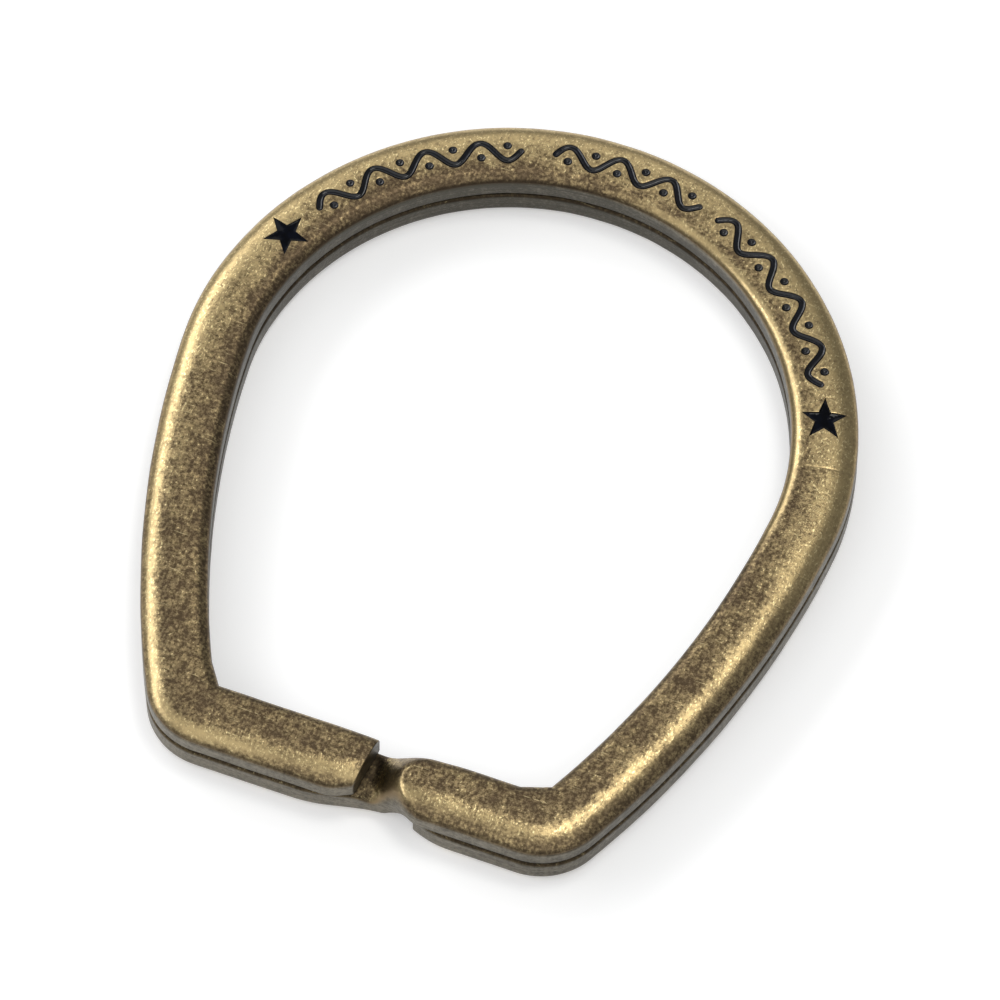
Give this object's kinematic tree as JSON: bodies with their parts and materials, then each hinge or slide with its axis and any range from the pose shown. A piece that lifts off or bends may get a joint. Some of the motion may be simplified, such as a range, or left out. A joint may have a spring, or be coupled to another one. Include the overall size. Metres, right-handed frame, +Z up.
{
  "type": "split key ring",
  "caption": "Horseshoe-shaped split key ring of flat spring wire in two stacked coils, with a straight entry side, a formed crossover and an inlaid enamel border round the arc.",
  "frame": {"origin": "centre of the ring's outline, on the underside of the lower coil", "axes": "+Z up through the two coils as the ring lies flat, +Y from the straight entry side to the round top, +X to the right seen from above"},
  "size_m": [0.0324, 0.037, 0.003],
  "materials": {
    "antique_brass": "antique brass plate, tumbled and rubbed back to gold on its edges",
    "enamel": "glossy blue-black enamel"
  },
  "bodies": {
    "ring_body": {"crossover": "antique_brass", "upper_right_leg": "antique_brass", "upper_right_arc": "antique_brass", "lower_left_leg": "antique_brass", "lower_left_arc": "antique_brass", "enamel_star_right": "enamel", "enamel_wave_middle": "enamel", "enamel_wave_right": "enamel", "enamel_dot_middle_1": "enamel", "enamel_dot_middle_2": "enamel", "enamel_dot_middle_3": "enamel", "enamel_dot_middle_4": "enamel", "enamel_dot_middle_5": "enamel", "enamel_dot_middle_6": "enamel", "enamel_dot_right_1": "enamel", "enamel_dot_right_2": "enamel", "enamel_dot_right_3": "enamel", "enamel_dot_right_4": "enamel", "enamel_dot_right_5": "enamel", "enamel_dot_right_6": "enamel", "enamel_dot_right_7": "enamel", "enamel_dot_right_8": "enamel"},
    "upper_coil_arc": {"upper_left_arc": "antique_brass", "enamel_star_left": "enamel", "enamel_wave_left": "enamel", "enamel_dot_left_1": "enamel", "enamel_dot_left_2": "enamel", "enamel_dot_left_3": "enamel", "enamel_dot_left_4": "enamel", "enamel_dot_left_5": "enamel", "enamel_dot_left_6": "enamel", "enamel_dot_left_7": "enamel", "enamel_dot_left_8": "enamel"},
    "upper_coil_leg": {"upper_left_leg": "antique_brass"},
    "lower_coil_arc": {"lower_right_arc": "antique_brass"},
    "lower_coil_leg": {"lower_right_leg": "antique_brass"}
  },
  "joints": [
    {"name": "upper_coil_spread", "type": "hinge", "parent": "ring_body", "child": "upper_coil_arc", "pos_m": [0, 0.01854, 0.00302], "axis": [-1, 0, 0], "range_deg": [0, 2.4], "stiffness_Nm_per_rad": 12.8},
    {"name": "upper_end_spread", "type": "hinge", "parent": "upper_coil_arc", "child": "upper_coil_leg", "pos_m": [-0.01442, 0.00507, 0.00302], "axis": [-0.8366, -0.5479, 0], "range_deg": [0, 2.9]},
    {"name": "lower_coil_spread", "type": "hinge", "parent": "ring_body", "child": "lower_coil_arc", "pos_m": [0, 0.01854, 0], "axis": [1, 0, 0], "range_deg": [0, 2.4], "stiffness_Nm_per_rad": 12.8},
    {"name": "lower_end_spread", "type": "hinge", "parent": "lower_coil_arc", "child": "lower_coil_leg", "pos_m": [0.01442, 0.00507, 0], "axis": [0.8828, -0.4698, 0], "range_deg": [0, 2.9]}
  ],
  "couplings": [
    {"joint": "upper_end_spread", "follows": "upper_coil_spread", "ratio": 1.2},
    {"joint": "lower_end_spread", "follows": "lower_coil_spread", "ratio": 1.2}
  ]
}
